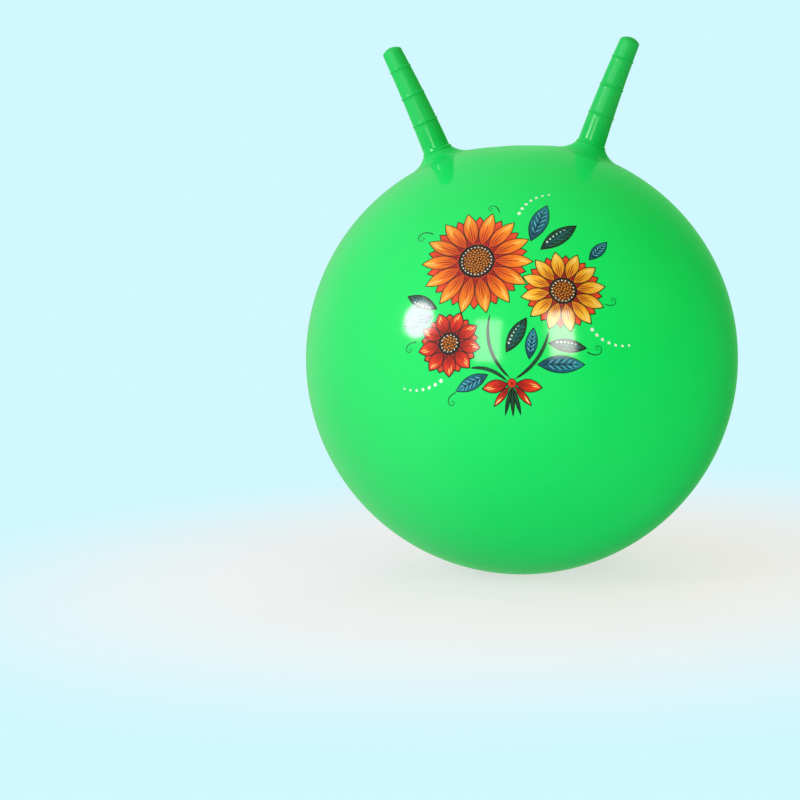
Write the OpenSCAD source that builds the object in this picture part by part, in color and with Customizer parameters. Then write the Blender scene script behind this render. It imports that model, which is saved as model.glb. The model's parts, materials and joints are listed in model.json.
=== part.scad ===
// Hopper ball: an inflated ball to sit and bounce on, held by two ribbed horns.
// Millimetres. The origin is the middle of the flat that the ball stands on, +Z is up,
// the printed front faces -Y, the air plug faces +Y and the horns spread along X.

/* [Ball] */
// Outer diameter of the ball when it is pumped up
ball_d = 650; // [450:5:750]
// Thickness of the ball's moulded skin
skin_t = 0.9; // [0.7:0.1:2]
// How far the floor presses the underside flat
floor_press = 2.8; // [1.5:0.1:6]

/* [Horn roots] */
// Angle from the upright axis of the ball to the middle of each root
root_angle = 19.9; // [15:0.1:28]
// Height of a root's top above the ball
root_h = 15.7; // [12:0.1:20]
// Radius of the flare that runs from the ball up to the root's top
flare_r = 35; // [26:0.5:44]
// Wall thickness of a root
root_wall = 1.6; // [1:0.1:2.2]

/* [Horns] */
// Lean of a horn, outwards from the direction of its root
horn_lean = 2.8; // [0:0.1:5]
// Length of a horn from its root to its tip
horn_len = 165; // [158:1:210]
// Outer diameter of a horn at its root
horn_base_d = 40; // [36:0.5:44]
// Outer diameter of a horn at the edge of its tip
horn_tip_d = 28.4; // [24:0.2:32]
// Wall thickness of a horn
horn_wall = 2.2; // [1.5:0.1:3.5]
// Height of the dome that closes the tip
tip_dome_h = 6.6; // [4:0.1:9]
// Rounding of the tip's edge
tip_edge_r = 4; // [2:0.1:6]

/* [Rings on the horns] */
// Number of raised rings on a horn, apart from the one on its root
ring_count = 3; // [1:1:3]
// Distance from one ring to the next, counted from the root's top
ring_pitch = 43.8; // [36:0.1:46]
// Radius of the ring's rounded back
ring_r = 1.7; // [1.4:0.1:2.4]
// How far a ring stands out from the horn
ring_rise = 1.3; // [0.6:0.1:1.3]

/* [Valve seat] */
// Height of the valve above the middle of the ball, as an angle
valve_angle = 0; // [-20:1:30]
// Bore that the plug pushes into
valve_bore_d = 9; // [8:0.1:10]
// Outer diameter of the neck that reaches into the ball
valve_neck_d = 17; // [15:0.5:20]
// Length of the neck, from the flange inwards
valve_neck_len = 18; // [12:0.5:24]
// Outer diameter of the collar that shows outside
collar_d = 27; // [25:0.5:32]
// How far the collar stands out from the ball
collar_rise = 1.6; // [1:0.1:2.5]
// Chamfer round the collar
collar_chamfer = 0.8; // [0.4:0.1:1]
// Diameter of the flange that is welded behind the skin
flange_d = 44; // [36:1:56]
// Thickness of the flange
flange_t = 1.8; // [1.2:0.1:2.5]

/* [Air plug] */
// Diameter of the plug's head
plug_head_d = 18; // [16:0.1:20]
// Thickness of the plug's head
plug_head_t = 2.2; // [1.6:0.1:3]
// Diameter of the plug's stem
plug_stem_d = 7.2; // [6:0.1:7.6]
// Length of the stem under the head
plug_stem_len = 22; // [18:0.5:30]
// Number of sealing barbs on the stem
barb_count = 4; // [2:1:5]
// Distance from one barb to the next
barb_pitch = 4; // [3.5:0.1:4.4]
// Diameter of the finger hollow in the head
plug_dimple_d = 9; // [6:0.5:12]
// Depth of the finger hollow
plug_dimple_depth = 0.8; // [0.4:0.1:1.2]

/* [Front print] */
// Height of the printed picture, seen square on
print_h = 310; // [240:5:340]
// Height of the print's middle above the middle of the ball, as an angle
print_angle = 22; // [10:1:30]
// Thickness of the printed film
ink_t = 0.2; // [0.1:0.05:0.4]

/* [Hidden] */
// Gap left for the weld between the skin and what is welded to it
weld_gap = 0.05;
// Running gap between the plug's barbs and the bore
barb_gap = 0.06;
// Gap round the plug's head
head_gap = 0.3;
// How far a cut runs past the solid that it cuts
overrun = 2;
// Smoothness of round shapes
$fn = 180;

ball_r = ball_d / 2;
ball_z = ball_r - floor_press;
horn_r = horn_base_d / 2;
tip_r = horn_tip_d / 2;
root_top = ball_r + root_h;

// The flare's arc has its middle outside the ball. It touches the ball at the root's foot
// and passes through the horn's edge at the root's top.
flare_reach = ball_r + flare_r;
edge_reach = norm([horn_r, root_top]);
flare_turn = acos((pow(edge_reach, 2) + pow(flare_reach, 2) - pow(flare_r, 2))
                  / (2 * edge_reach * flare_reach));
foot_angle = atan2(horn_r, root_top) + flare_turn;
flare_mid = flare_reach * [sin(foot_angle), cos(foot_angle)];

// The side of a horn tapers in a straight line. Its slope is measured from the horn's axis.
side_len = horn_len - tip_dome_h;
side_slope = atan2(horn_r - tip_r, side_len);
// The horn's foot is drawn this much too long, and trimmed to the root's sloping top
foot_spare = horn_base_d * tan(horn_lean);
dome_r = (pow(tip_r, 2) + pow(tip_dome_h, 2)) / (2 * tip_dome_h);

// Heights of the valve's and the plug's faces, as distances from the middle of the ball
seat_top = ball_r + collar_rise;
skin_inside = ball_r - skin_t;
flange_top = skin_inside - weld_gap;
neck_end = flange_top - flange_t - valve_neck_len;
head_seat = seat_top - plug_head_t / 2;
barb_d = valve_bore_d - 2 * barb_gap;
barb_h = barb_pitch / 2;
stem_tip_h = plug_stem_d / 2;

// The print is a bunch of three flowers, tied with a bow. Its places and lengths are shares of
// the print's height, counted from the print's middle, and its turns are in degrees.
// Each flower has its place across and up, its radius, its heart's radius and its first petal's
// turn
big_flower_shares = [-0.13, 0.17, 0.25, 0.075, -3];
middle_flower_shares = [0.255, 0.02, 0.185, 0.055, 10];
small_flower_shares = [-0.257, -0.204, 0.14, 0.042, -12];
big_petals = 14;
middle_petals = 12;
small_petals = 9;
petal_gap_share = 0.006;
// Width of a petal, as a share of the room that it has halfway out
petal_w_share = 0.84;
// The knot of the bow has its place across and up, and its radius
knot_shares = [0.02, -0.39, 0.018];
knot_gap_share = 0.003;
// Each stem has its tip's place across and up, and how far it bends to the left
stem_shares = [
    [-0.07, -0.085, 0.045],
    [0.19, -0.165, -0.03],
    [-0.165, -0.318, -0.02]
];
stem_w_share = 0.016;
// What spreads from the knot has its turn, its length and its width
stem_end_shares = [[-75, 0.11, 0.013], [-90, 0.11, 0.013], [-105, 0.11, 0.013]];
bow_shares = [[-8, 0.11, 0.05], [188, 0.11, 0.05], [-48, 0.1, 0.026], [-132, 0.1, 0.026]];
// Each leaf has its stalk's end across and up, its length, its width and its turn
dark_leaf_shares = [
    [0, -0.255, 0.17, 0.06, 58],
    [0.19, -0.22, 0.16, 0.055, -5],
    [-0.315, -0.04, 0.15, 0.055, 150],
    [0.16, 0.22, 0.2, 0.07, 40]
];
teal_leaf_shares = [
    [0.1, -0.285, 0.13, 0.048, 80],
    [0.14, -0.312, 0.2, 0.07, 2],
    [-0.09, -0.352, 0.15, 0.056, 202],
    [-0.335, -0.075, 0.13, 0.05, 190],
    [0.115, 0.265, 0.2, 0.075, 70],
    [0.375, 0.18, 0.12, 0.046, 52]
];
// Each spray of dots has its start across and up, its turn and how much it turns at each dot
spray_shares = [
    [0.38, -0.15, -60, 12],
    [-0.3, -0.36, 215, -9],
    [0.06, 0.41, 75, -10]
];
spray_dots = 7;
spray_step_share = 0.03;
dot_r_share = 0.0085;

// Points along an arc round a middle, from one angle to another
function arc(mid, r, from, to, steps) = [
    for (i = [0 : steps]) mid + r * [cos(from + (to - from) * i / steps),
                                     sin(from + (to - from) * i / steps)]
];

// Places
module at_ball() {
    translate([0, 0, ball_z]) children();
}

// Turns +Z to the direction of a horn's root; side is 1 for right and -1 for left
module at_root(side) {
    at_ball() rotate([0, side * root_angle, 0]) children();
}

module at_valve() {
    at_ball() rotate([valve_angle - 90, 0, 0]) children();
}

module at_print() {
    at_ball() rotate([90 - print_angle, 0, 0]) children();
}

// The ball as a solid, r out from its middle and flat at floor_z above the origin
module ball_solid(r, floor_z) {
    intersection() {
        sphere(r);
        translate([-ball_d, -ball_d, floor_z - ball_z]) cube(2 * ball_d);
    }
}

// The part of space that a root's foot closes, as a cone from the middle of the ball
module root_cone() {
    cone_h = root_top + overrun;
    cylinder(h = cone_h, r1 = 0, r2 = cone_h * tan(foot_angle));
}

module ball_skin() {
    color("limegreen") difference() {
        at_ball() ball_solid(ball_r, 0);
        at_ball() ball_solid(skin_inside, skin_t);
        for (side = [-1, 1]) at_root(side) root_cone();
        at_valve() cylinder(h = root_top, d = collar_d + 2 * weld_gap);
    }
}

// Half the root's section: a strip that follows the flare, with a ring round its top
module root_section() {
    intersection() {
        union() {
            difference() {
                translate(flare_mid) circle(flare_r + root_wall);
                translate(flare_mid) circle(flare_r);
            }
            translate([horn_r + ring_rise - ring_r, root_top - ring_rise]) circle(ring_r);
        }
        polygon([[0, 0], [root_top * tan(foot_angle), root_top], [0, root_top]]);
    }
}

module horn_root(side) {
    color("limegreen") at_root(side) rotate_extrude() root_section();
}

// Half the outside of a horn: its tapered side, the rounded edge and the domed tip
module horn_outline() {
    edge_mid = [tip_r - tip_edge_r / cos(side_slope), side_len - tip_edge_r * tan(side_slope)];
    dome_mid_z = horn_len - dome_r;
    dome_turn = atan2(edge_mid[0], edge_mid[1] - dome_mid_z);
    dome_reach = norm([edge_mid[0], edge_mid[1] - dome_mid_z]) + tip_edge_r;
    polygon(concat(
        [[0, -foot_spare], [horn_r + foot_spare * tan(side_slope), -foot_spare]],
        arc(edge_mid, tip_edge_r, side_slope, 90 - dome_turn, 6),
        arc([0, dome_mid_z], dome_reach, 90 - dome_turn, 90, 6)
    ));
}

function horn_r_at(z) = horn_r - z * tan(side_slope);

// Half the hollow of a horn, open at the root
module horn_hollow() {
    top = side_len - horn_wall;
    polygon([
        [0, -foot_spare - overrun],
        [horn_r_at(-foot_spare - overrun) - horn_wall, -foot_spare - overrun],
        [horn_r_at(top) - horn_wall, top],
        [tip_r / 2, top + horn_wall],
        [0, top + horn_wall]
    ]);
}

module horn(side) {
    trim_w = 2 * horn_base_d;
    color("limegreen") at_root(side) translate([0, 0, root_top]) difference() {
        rotate([0, side * horn_lean, 0]) rotate_extrude() difference() {
            union() {
                horn_outline();
                for (i = [1 : ring_count])
                    translate([horn_r_at(i * ring_pitch) + ring_rise - ring_r, i * ring_pitch])
                        circle(ring_r);
            }
            horn_hollow();
        }
        translate([-trim_w / 2, -trim_w / 2, -trim_w]) cube(trim_w);
    }
}

module valve_seat() {
    seat_depth = head_seat - neck_end;
    collar_foot = flange_top - flange_t;
    color("forestgreen") at_valve() rotate_extrude() difference() {
        union() {
            intersection() {
                difference() {
                    circle(flange_top);
                    circle(flange_top - flange_t);
                }
                square([flange_d / 2, flange_top]);
            }
            polygon([
                [0, collar_foot],
                [collar_d / 2, collar_foot],
                [collar_d / 2, seat_top - collar_chamfer],
                [collar_d / 2 - collar_chamfer, seat_top],
                [0, seat_top]
            ]);
            translate([0, neck_end]) square([valve_neck_d / 2, valve_neck_len + flange_t]);
        }
        translate([0, neck_end - overrun]) square([valve_bore_d / 2, seat_depth + 2 * overrun]);
        translate([0, head_seat]) square([plug_head_d / 2 + head_gap, plug_head_t]);
    }
}

// The plug's head rests on the seat, and stands out of the collar by half its thickness
module air_plug() {
    head_r = plug_head_d / 2;
    head_bevel = plug_head_t / 3;
    stem_r = plug_stem_d / 2;
    stem_end = head_seat - plug_stem_len;
    color("whitesmoke") at_valve() difference() {
        rotate_extrude() union() {
            polygon([
                [0, head_seat],
                [head_r, head_seat],
                [head_r, head_seat + plug_head_t - head_bevel],
                [head_r - head_bevel, head_seat + plug_head_t],
                [0, head_seat + plug_head_t]
            ]);
            polygon([
                [0, stem_end],
                [stem_r / 2, stem_end],
                [stem_r, stem_end + stem_tip_h],
                [stem_r, head_seat],
                [0, head_seat]
            ]);
            for (i = [1 : barb_count])
                translate([0, head_seat - i * barb_pitch]) polygon([
                    [0, 0],
                    [stem_r, 0],
                    [barb_d / 2, barb_h],
                    [0, barb_h]
                ]);
        }
        translate([0, 0, head_seat + plug_head_t - plug_dimple_depth])
            cylinder(h = plug_head_t, d = plug_dimple_d);
    }
}

// Print shapes, flat, in millimetres from the print's middle

// Radius of the arc that spans len and stands rise above it
function arc_r(len, rise) = (pow(len / 2, 2) + pow(rise, 2)) / (2 * rise);

// A pointed oval from the origin along +X
module blade(len, wid) {
    r = arc_r(len, wid / 2);
    intersection() {
        translate([len / 2, r - wid / 2]) circle(r);
        translate([len / 2, wid / 2 - r]) circle(r);
    }
}

// A bent strip from the origin to a point on +X, pointed at both ends
module bent_strip(len, bend, wid) {
    outer = bend + wid / 2;
    inner = bend - wid / 2;
    difference() {
        translate([len / 2, outer - arc_r(len, outer)]) circle(arc_r(len, outer));
        translate([len / 2, inner - arc_r(len, inner)]) circle(arc_r(len, inner));
    }
}

module petals(flower_shares, count) {
    r = flower_shares[2] * print_h;
    petal_start = (flower_shares[3] + petal_gap_share) * print_h;
    petal_w = petal_w_share * (petal_start + r) * tan(180 / count);
    translate([flower_shares[0], flower_shares[1]] * print_h)
        for (i = [0 : count - 1])
            rotate(flower_shares[4] + i * 360 / count)
                translate([petal_start, 0]) blade(r - petal_start, petal_w);
}

module heart(flower_shares) {
    translate([flower_shares[0], flower_shares[1]] * print_h) circle(flower_shares[3] * print_h);
}

module at_knot() {
    translate([knot_shares[0], knot_shares[1]] * print_h) children();
}

knot_edge = (knot_shares[2] + knot_gap_share) * print_h;

// Blades that spread from the knot
module knot_blades(shares) {
    at_knot() for (blade_shares = shares)
        rotate(blade_shares[0]) translate([knot_edge, 0])
            blade(blade_shares[1] * print_h, blade_shares[2] * print_h);
}

module stem(shares) {
    way = ([shares[0], shares[1]] - [knot_shares[0], knot_shares[1]]) * print_h;
    bend = abs(shares[2]) * print_h;
    at_knot() rotate(atan2(way[1], way[0])) translate([knot_edge, 0])
        mirror([0, shares[2] < 0 ? 1 : 0])
            bent_strip(norm(way) - knot_edge, bend, stem_w_share * print_h);
}

module leaf(shares) {
    translate([shares[0], shares[1]] * print_h)
        rotate(shares[4]) blade(shares[2] * print_h, shares[3] * print_h);
}

// A spray of dots that bends by a steady turn
function spray_place(spray, i) = i == 0
    ? [spray[0], spray[1]]
    : spray_place(spray, i - 1)
        + spray_step_share * [cos(spray[2] + i * spray[3]), sin(spray[2] + i * spray[3])];

module spray(shares) {
    for (i = [0 : spray_dots - 1])
        translate(spray_place(shares, i) * print_h)
            circle(dot_r_share * print_h * (1 - i / (2 * spray_dots)));
}

// Lays a flat shape on the front of the ball as a film of ink
module film() {
    film_r = ball_r + weld_gap;
    intersection() {
        at_ball() difference() {
            sphere(film_r + ink_t);
            sphere(film_r);
        }
        at_print() linear_extrude(height = ball_d) children();
    }
}

module print_orange_petals() {
    color("darkorange") film() petals(big_flower_shares, big_petals);
}

module print_yellow_petals() {
    color("gold") film() petals(middle_flower_shares, middle_petals);
}

module print_red_petals() {
    color("orangered") film() petals(small_flower_shares, small_petals);
}

module print_red_bow() {
    color("orangered") film() {
        at_knot() circle(knot_shares[2] * print_h);
        knot_blades(bow_shares);
    }
}

module print_brown_hearts() {
    color("saddlebrown") film() {
        heart(big_flower_shares);
        heart(middle_flower_shares);
        heart(small_flower_shares);
    }
}

module print_dark_stems() {
    color("darkgreen") film() {
        for (shares = stem_shares) stem(shares);
        knot_blades(stem_end_shares);
    }
}

module print_dark_leaves() {
    color("darkgreen") film() for (shares = dark_leaf_shares) leaf(shares);
}

module print_teal_leaves() {
    color("teal") film() for (shares = teal_leaf_shares) leaf(shares);
}

module print_white_dots() {
    color("honeydew") film() for (shares = spray_shares) spray(shares);
}

ball_skin();
horn_root(-1);  // left_horn_root
horn_root(1);  // right_horn_root
horn(-1);  // left_horn
horn(1);  // right_horn
valve_seat();
air_plug();
print_orange_petals();
print_yellow_petals();
print_red_petals();
print_red_bow();
print_brown_hearts();
print_dark_stems();
print_dark_leaves();
print_teal_leaves();
print_white_dots();
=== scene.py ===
import json
import math

import bmesh
import bpy
import numpy as np
from mathutils import Matrix, Quaternion, Vector


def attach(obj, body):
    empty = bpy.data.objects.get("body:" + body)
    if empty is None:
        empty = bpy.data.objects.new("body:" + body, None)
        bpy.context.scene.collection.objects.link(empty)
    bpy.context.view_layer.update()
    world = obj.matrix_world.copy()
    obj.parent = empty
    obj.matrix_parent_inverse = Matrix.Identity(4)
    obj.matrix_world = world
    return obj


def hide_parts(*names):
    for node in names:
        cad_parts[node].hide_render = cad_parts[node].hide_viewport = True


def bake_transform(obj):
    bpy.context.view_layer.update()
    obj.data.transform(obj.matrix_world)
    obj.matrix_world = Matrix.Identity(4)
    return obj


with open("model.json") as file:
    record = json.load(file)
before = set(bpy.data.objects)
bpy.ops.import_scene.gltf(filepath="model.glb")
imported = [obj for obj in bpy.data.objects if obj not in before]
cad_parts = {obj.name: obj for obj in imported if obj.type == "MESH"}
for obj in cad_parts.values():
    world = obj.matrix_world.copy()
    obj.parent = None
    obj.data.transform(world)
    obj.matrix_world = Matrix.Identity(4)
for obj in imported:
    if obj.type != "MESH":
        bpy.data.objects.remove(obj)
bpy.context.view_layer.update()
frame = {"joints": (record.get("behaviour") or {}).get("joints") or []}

# The camera stands a little above the ball and a little to its right, as in the photograph.
# The ball leans by two degrees in the picture, so the camera is rolled by as much.
picture_px = 800
ball_place_px = (521, 359)
focal_px = 2377
sensor_mm = 36
camera_azimuth = math.radians(3.5)
camera_elevation = math.radians(6)
camera_roll = math.radians(-2)
camera_distance = 3.6

ball_r = 0.325
floor_press = 0.0028
ball_middle = Vector((0, 0, ball_r - floor_press))


def direction(azimuth, elevation):
    """The way from the ball to something that stands at that azimuth and elevation."""
    flat = math.cos(elevation)
    return Vector((math.sin(azimuth) * flat, -math.cos(azimuth) * flat, math.sin(elevation)))


def link(obj):
    bpy.context.scene.collection.objects.link(obj)
    return obj


camera = link(bpy.data.objects.new("camera", bpy.data.cameras.new("camera")))
bpy.context.scene.camera = camera
camera.data.sensor_width = sensor_mm
camera.data.lens = sensor_mm * focal_px / picture_px
camera_way = direction(camera_azimuth, camera_elevation)
camera.location = ball_middle + camera_distance * camera_way
ball_ray = Vector(
    (ball_place_px[0] - picture_px / 2, picture_px / 2 - ball_place_px[1], -focal_px)
)
camera.rotation_mode = "QUATERNION"
camera.rotation_quaternion = (
    (-camera_way).to_track_quat("-Z", "Y")
    @ Quaternion((0, 0, 1), camera_roll)
    @ ball_ray.rotation_difference(Vector((0, 0, -1)))
)

# The ball's skin is one thin hollow moulding of glossy green PVC, blown up tight. It sags a
# little between the horns, and is pressed flat where it stands. It is open where the horns
# and the valve seat go on.
mm = 0.001
skin_grid = 121
crown_dip = 3.7 * mm
crown_half_x = 85 * mm
crown_half_y = 125 * mm
crown_flat_share = 0.2
foot_softness = 1.5 * mm
root_joint = [joint for joint in frame["joints"] if joint["name"] == "right_horn_flex"][0]
root_way = (Vector(root_joint["pos_m"]) - ball_middle).normalized()
root_ways = {"left": Vector((-root_way.x, 0, root_way.z)), "right": root_way}
root_opening = math.radians(10.5)
valve_way = Vector((0, 1, 0))
valve_opening = math.radians(2.2)
sliver = 0.2 * mm

pvc_stretched = (0.004, 0.71, 0.12)
pvc_thick = (0.003, 0.62, 0.104)
thick_zone = (ball_r + 2 * mm, ball_r + 30 * mm)
pvc_cloud = (0.05, 0.8, 0.2)
cloud_scale = 5
cloud_share = 0.12
pvc_refraction = 1.54
wet_gloss = 0.62
pvc_roughness = 0.1
worn_roughness = 0.36
worn_zone = (ball_r + 5 * mm, ball_r + 80 * mm)
mark_scale = 38
mark_roughness = 0.05
ripple_scale = 26
ripple_h = 0.4 * mm
ripple_strength = 0.25
ripple_loss = 0.8
edge_glow = 0.15
glow_colour = (0.12, 1.0, 0.35)
glow_spread = 0.45


def add(tree, kind, wires=None, **settings):
    """A node with its settings, and its inputs either wired or set."""
    node = tree.nodes.new(kind)
    for name, value in settings.items():
        setattr(node, name, value)
    for name, value in (wires or {}).items():
        if isinstance(value, bpy.types.NodeSocket):
            tree.links.new(value, node.inputs[name])
        else:
            node.inputs[name].default_value = value
    return node


def calc(tree, operation, *values):
    """The result of a Math node."""
    return add(tree, "ShaderNodeMath", dict(enumerate(values)), operation=operation).outputs[0]


def vector_calc(tree, operation, *values):
    """The result of a Vector Math node."""
    node = add(tree, "ShaderNodeVectorMath", dict(enumerate(values)), operation=operation)
    is_number = operation in ("DISTANCE", "LENGTH", "DOT_PRODUCT")
    return node.outputs["Value" if is_number else "Vector"]


def ramp(tree, value, start, end, low=0.0, high=1.0):
    """A value that goes smoothly from low at start to high at end."""
    wires = {"Value": value, "From Min": start, "From Max": end, "To Min": low, "To Max": high}
    node = add(tree, "ShaderNodeMapRange", wires, interpolation_type="SMOOTHSTEP")
    return node.outputs["Result"]


def noise(tree, place, scale, detail=2.0, roughness=0.5):
    wires = {"Vector": place, "Scale": scale, "Detail": detail, "Roughness": roughness}
    return add(tree, "ShaderNodeTexNoise", wires).outputs["Fac"]


def mixed(tree, share, first, second, blend_type="MIX"):
    """The mix of two colours, each a socket or three numbers."""
    wires = {0: share}
    for socket, colour in ((6, first), (7, second)):
        wires[socket] = colour if isinstance(colour, bpy.types.NodeSocket) else (*colour, 1)
    return add(tree, "ShaderNodeMix", wires, data_type="RGBA", blend_type=blend_type).outputs[2]


def new_material(name, gloss=0.5):
    """A material with its tree and its shader, which has the refraction of PVC."""
    material = bpy.data.materials.new(name)
    material.use_nodes = True
    surface = material.node_tree.nodes["Principled BSDF"]
    surface.inputs["IOR"].default_value = pvc_refraction
    surface.inputs["Specular IOR Level"].default_value = gloss
    return material, material.node_tree, surface


def roughen(tree, surface, relief, strength, distance):
    """Puts a fine relief on a surface."""
    wires = {"Height": relief, "Strength": strength, "Distance": distance}
    bump = add(tree, "ShaderNodeBump", wires)
    tree.links.new(bump.outputs["Normal"], surface.inputs["Normal"])


def soft_pvc(name, thin, thick, roughness, gloss=wet_gloss):
    """Glossy PVC, paler where it is stretched and deeper where it is thick, with faint clouds
    in its colour, the soft ripple of moulded skin, and gloss that hands have dulled."""
    material, tree, surface = new_material(name, gloss)
    surface.inputs["Sheen Weight"].default_value = edge_glow
    surface.inputs["Sheen Roughness"].default_value = glow_spread
    surface.inputs["Sheen Tint"].default_value = (*glow_colour, 1)
    place = add(tree, "ShaderNodeTexCoord").outputs["Object"]
    height = vector_calc(tree, "DISTANCE", place, tuple(ball_middle))
    thickness = ramp(tree, height, *thick_zone)
    handled = ramp(tree, height, *worn_zone, roughness, worn_roughness)
    clouds = ramp(tree, noise(tree, place, cloud_scale, 3), 0.35, 0.7, 0, cloud_share)
    colour = mixed(tree, clouds, mixed(tree, thickness, thin, thick), pvc_cloud)
    tree.links.new(colour, surface.inputs["Base Color"])
    marks = ramp(tree, noise(tree, place, mark_scale, 4, 0.65), 0.45, 0.75, 0, mark_roughness)
    tree.links.new(calc(tree, "ADD", handled, marks), surface.inputs["Roughness"])
    tight = calc(tree, "SUBTRACT", 1, calc(tree, "MULTIPLY", thickness, ripple_loss))
    ripple = calc(tree, "MULTIPLY", noise(tree, place, ripple_scale, 1), tight)
    roughen(tree, surface, ripple, ripple_strength, ripple_h)
    return material


def new_tree(name, **inputs):
    """A Geometry Nodes tree with a named input for each size, given as its type."""
    tree = bpy.data.node_groups.new(name, "GeometryNodeTree")
    tree.interface.new_socket("Geometry", in_out="INPUT", socket_type="NodeSocketGeometry")
    for title, kind in inputs.items():
        tree.interface.new_socket(
            title.replace("_", " "), in_out="INPUT", socket_type="NodeSocket" + kind
        )
    tree.interface.new_socket("Geometry", in_out="OUTPUT", socket_type="NodeSocketGeometry")
    return tree, tree.nodes.new("NodeGroupInput").outputs


def moved_to(tree, geometry, place):
    return add(tree, "GeometryNodeSetPosition", {"Geometry": geometry, "Position": place}).outputs[0]


def close_tree(tree, geometry, material):
    """Ends a tree: its instances are made real, smooth and of one material."""
    real = add(tree, "GeometryNodeRealizeInstances", {"Geometry": geometry})
    smooth = add(tree, "GeometryNodeSetShadeSmooth", {"Geometry": real.outputs[0]})
    dressed = add(
        tree, "GeometryNodeSetMaterial", {"Geometry": smooth.outputs[0], "Material": material}
    )
    add(tree, "NodeGroupOutput", {"Geometry": dressed.outputs[0]})


def grow(name, tree, start=None, **sizes):
    """The plain mesh that a tree makes of a starting mesh, as an object."""
    seed = link(bpy.data.objects.new(name + "_start", start or bpy.data.meshes.new(name)))
    modifier = seed.modifiers.new(tree.name, "NODES")
    modifier.node_group = tree
    for item in tree.interface.items_tree:
        size = item.name.replace(" ", "_")
        if item.in_out == "INPUT" and size in sizes:
            modifier[item.identifier] = sizes[size]
    graph = bpy.context.evaluated_depsgraph_get()
    mesh = bpy.data.meshes.new_from_object(
        seed.evaluated_get(graph), preserve_all_data_layers=True, depsgraph=graph
    )
    bpy.data.objects.remove(seed)
    mesh.name = name
    material = [stuff for stuff in mesh.materials if stuff][0]
    mesh.materials.clear()
    mesh.materials.append(material)
    mesh.polygons.foreach_set("material_index", [0] * len(mesh.polygons))
    return link(bpy.data.objects.new(name, mesh))


def vertex_array(mesh):
    points = np.empty(len(mesh.vertices) * 3)
    mesh.vertices.foreach_get("co", points)
    return points.reshape(-1, 3)


def set_vertices(mesh, points):
    mesh.vertices.foreach_set("co", points.ravel())
    mesh.update()


def settle(mesh):
    """Gives a mesh on the round ball the dip of its crown and the flat of its foot, and the
    normals of the smooth surface, so that no edge of a piece shows in the gloss."""
    points = vertex_array(mesh)
    normals = np.array([normal.vector for normal in mesh.vertex_normals])
    out = points - np.array(ball_middle)
    reach = np.linalg.norm(out, axis=1)
    on_ball = np.abs(reach - ball_r) < sliver
    normals[on_ball] = out[on_ball] / reach[on_ball, None]

    x, y, z = points.T
    way = np.maximum(np.hypot(x / crown_half_x, y / crown_half_y), 1e-9)
    fade = np.clip((1 - way) / (1 - crown_flat_share), 0, 1)
    dip = np.where(z > ball_middle.z, crown_dip * fade**2 * (3 - 2 * fade), 0)
    slope = np.where(
        z > ball_middle.z, -crown_dip * 6 * fade * (1 - fade) / (1 - crown_flat_share), 0
    )
    normals[:, 0] += slope * x / (crown_half_x**2 * way) * normals[:, 2]
    normals[:, 1] += slope * y / (crown_half_y**2 * way) * normals[:, 2]

    near = np.clip((foot_softness - np.abs(z)) / foot_softness, 0, 1)
    pressed = np.maximum(z, 0) + near**3 * foot_softness / 6
    squash = np.where(z > 0, 1 - near**2 / 2, near**2 / 2)
    normals[:, 0] *= squash
    normals[:, 1] *= squash
    set_vertices(mesh, np.column_stack((x, y, pressed - dip)))
    normals /= np.linalg.norm(normals, axis=1)[:, None]
    mesh.normals_split_custom_set_from_vertices(normals.tolist())


# A cube of fine squares, blown up into a ball of nearly even ones.
round_ball, sockets = new_tree("round_ball", Radius="Float", Grid="Int", Skin="Material")
cube_sizes = {"Vertices " + axis: sockets["Grid"] for axis in "XYZ"}
cube = add(round_ball, "GeometryNodeMeshCube", {"Size": (2, 2, 2), **cube_sizes})
spot = add(round_ball, "GeometryNodeInputPosition").outputs[0]
quarter = vector_calc(round_ball, "SCALE", spot)
quarter.node.inputs["Scale"].default_value = math.pi / 4
even = vector_calc(round_ball, "NORMALIZE", vector_calc(round_ball, "TANGENT", quarter))
ball_spot = vector_calc(round_ball, "SCALE", even)
round_ball.links.new(sockets["Radius"], ball_spot.node.inputs["Scale"])
ball_spot = vector_calc(round_ball, "ADD", ball_spot, tuple(ball_middle))
blown = moved_to(round_ball, cube.outputs["Mesh"], ball_spot)
close_tree(round_ball, blown, sockets["Skin"])

green_pvc = soft_pvc("green_pvc", pvc_stretched, pvc_thick, pvc_roughness)
skin = grow("skin", round_ball, Radius=ball_r, Grid=skin_grid, Skin=green_pvc)
shell = bmesh.new()
shell.from_mesh(skin.data)
openings = [(way, root_opening) for way in root_ways.values()] + [(valve_way, valve_opening)]
for way, opening in openings:
    bmesh.ops.bisect_plane(
        shell,
        geom=shell.verts[:] + shell.edges[:] + shell.faces[:],
        plane_co=ball_middle + way * ball_r * math.cos(opening),
        plane_no=way,
        clear_outer=True,
    )
bmesh.ops.remove_doubles(shell, verts=shell.verts, dist=sliver)
shell.to_mesh(skin.data)
shell.free()
settle(skin.data)
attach(skin, "ball")
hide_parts("ball_skin")

# The two horns are hollow grips, moulded in one with the skin, and a little duller. Each rises
# from the ball in a soft flare with a raised ring at its top, and has three more rings under
# its domed tip. The mould closed in the plane of the horns and left a fine ridge there.
root_h = 15.7 * mm
flare_r = 35 * mm
horn_lean = math.radians(2.8)
lean_softness = 4 * mm
horn_len = 165 * mm
horn_r = 20.5 * mm
tip_r = 14.8 * mm
horn_bow = 1.5 * mm
tip_dome_h = 6.6 * mm
tip_edge_r = 4 * mm
ring_count = 3
ring_pitch = 43.8 * mm
ring_rise = 1.5 * mm
ring_half = 1.6 * mm
ring_steps = 12
side_steps = 8
turned_sides = 160
skirt_angle = math.radians(10.9)
skirt_drop = 0.1 * mm
flare_steps = 16
edge_steps = 6
dome_steps = 8
grip_gloss = 0.38
ridge_r = 0.6 * mm
ridge_rise = 0.12 * mm
ridge_sides = 8
ridge_step = math.radians(1)
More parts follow.
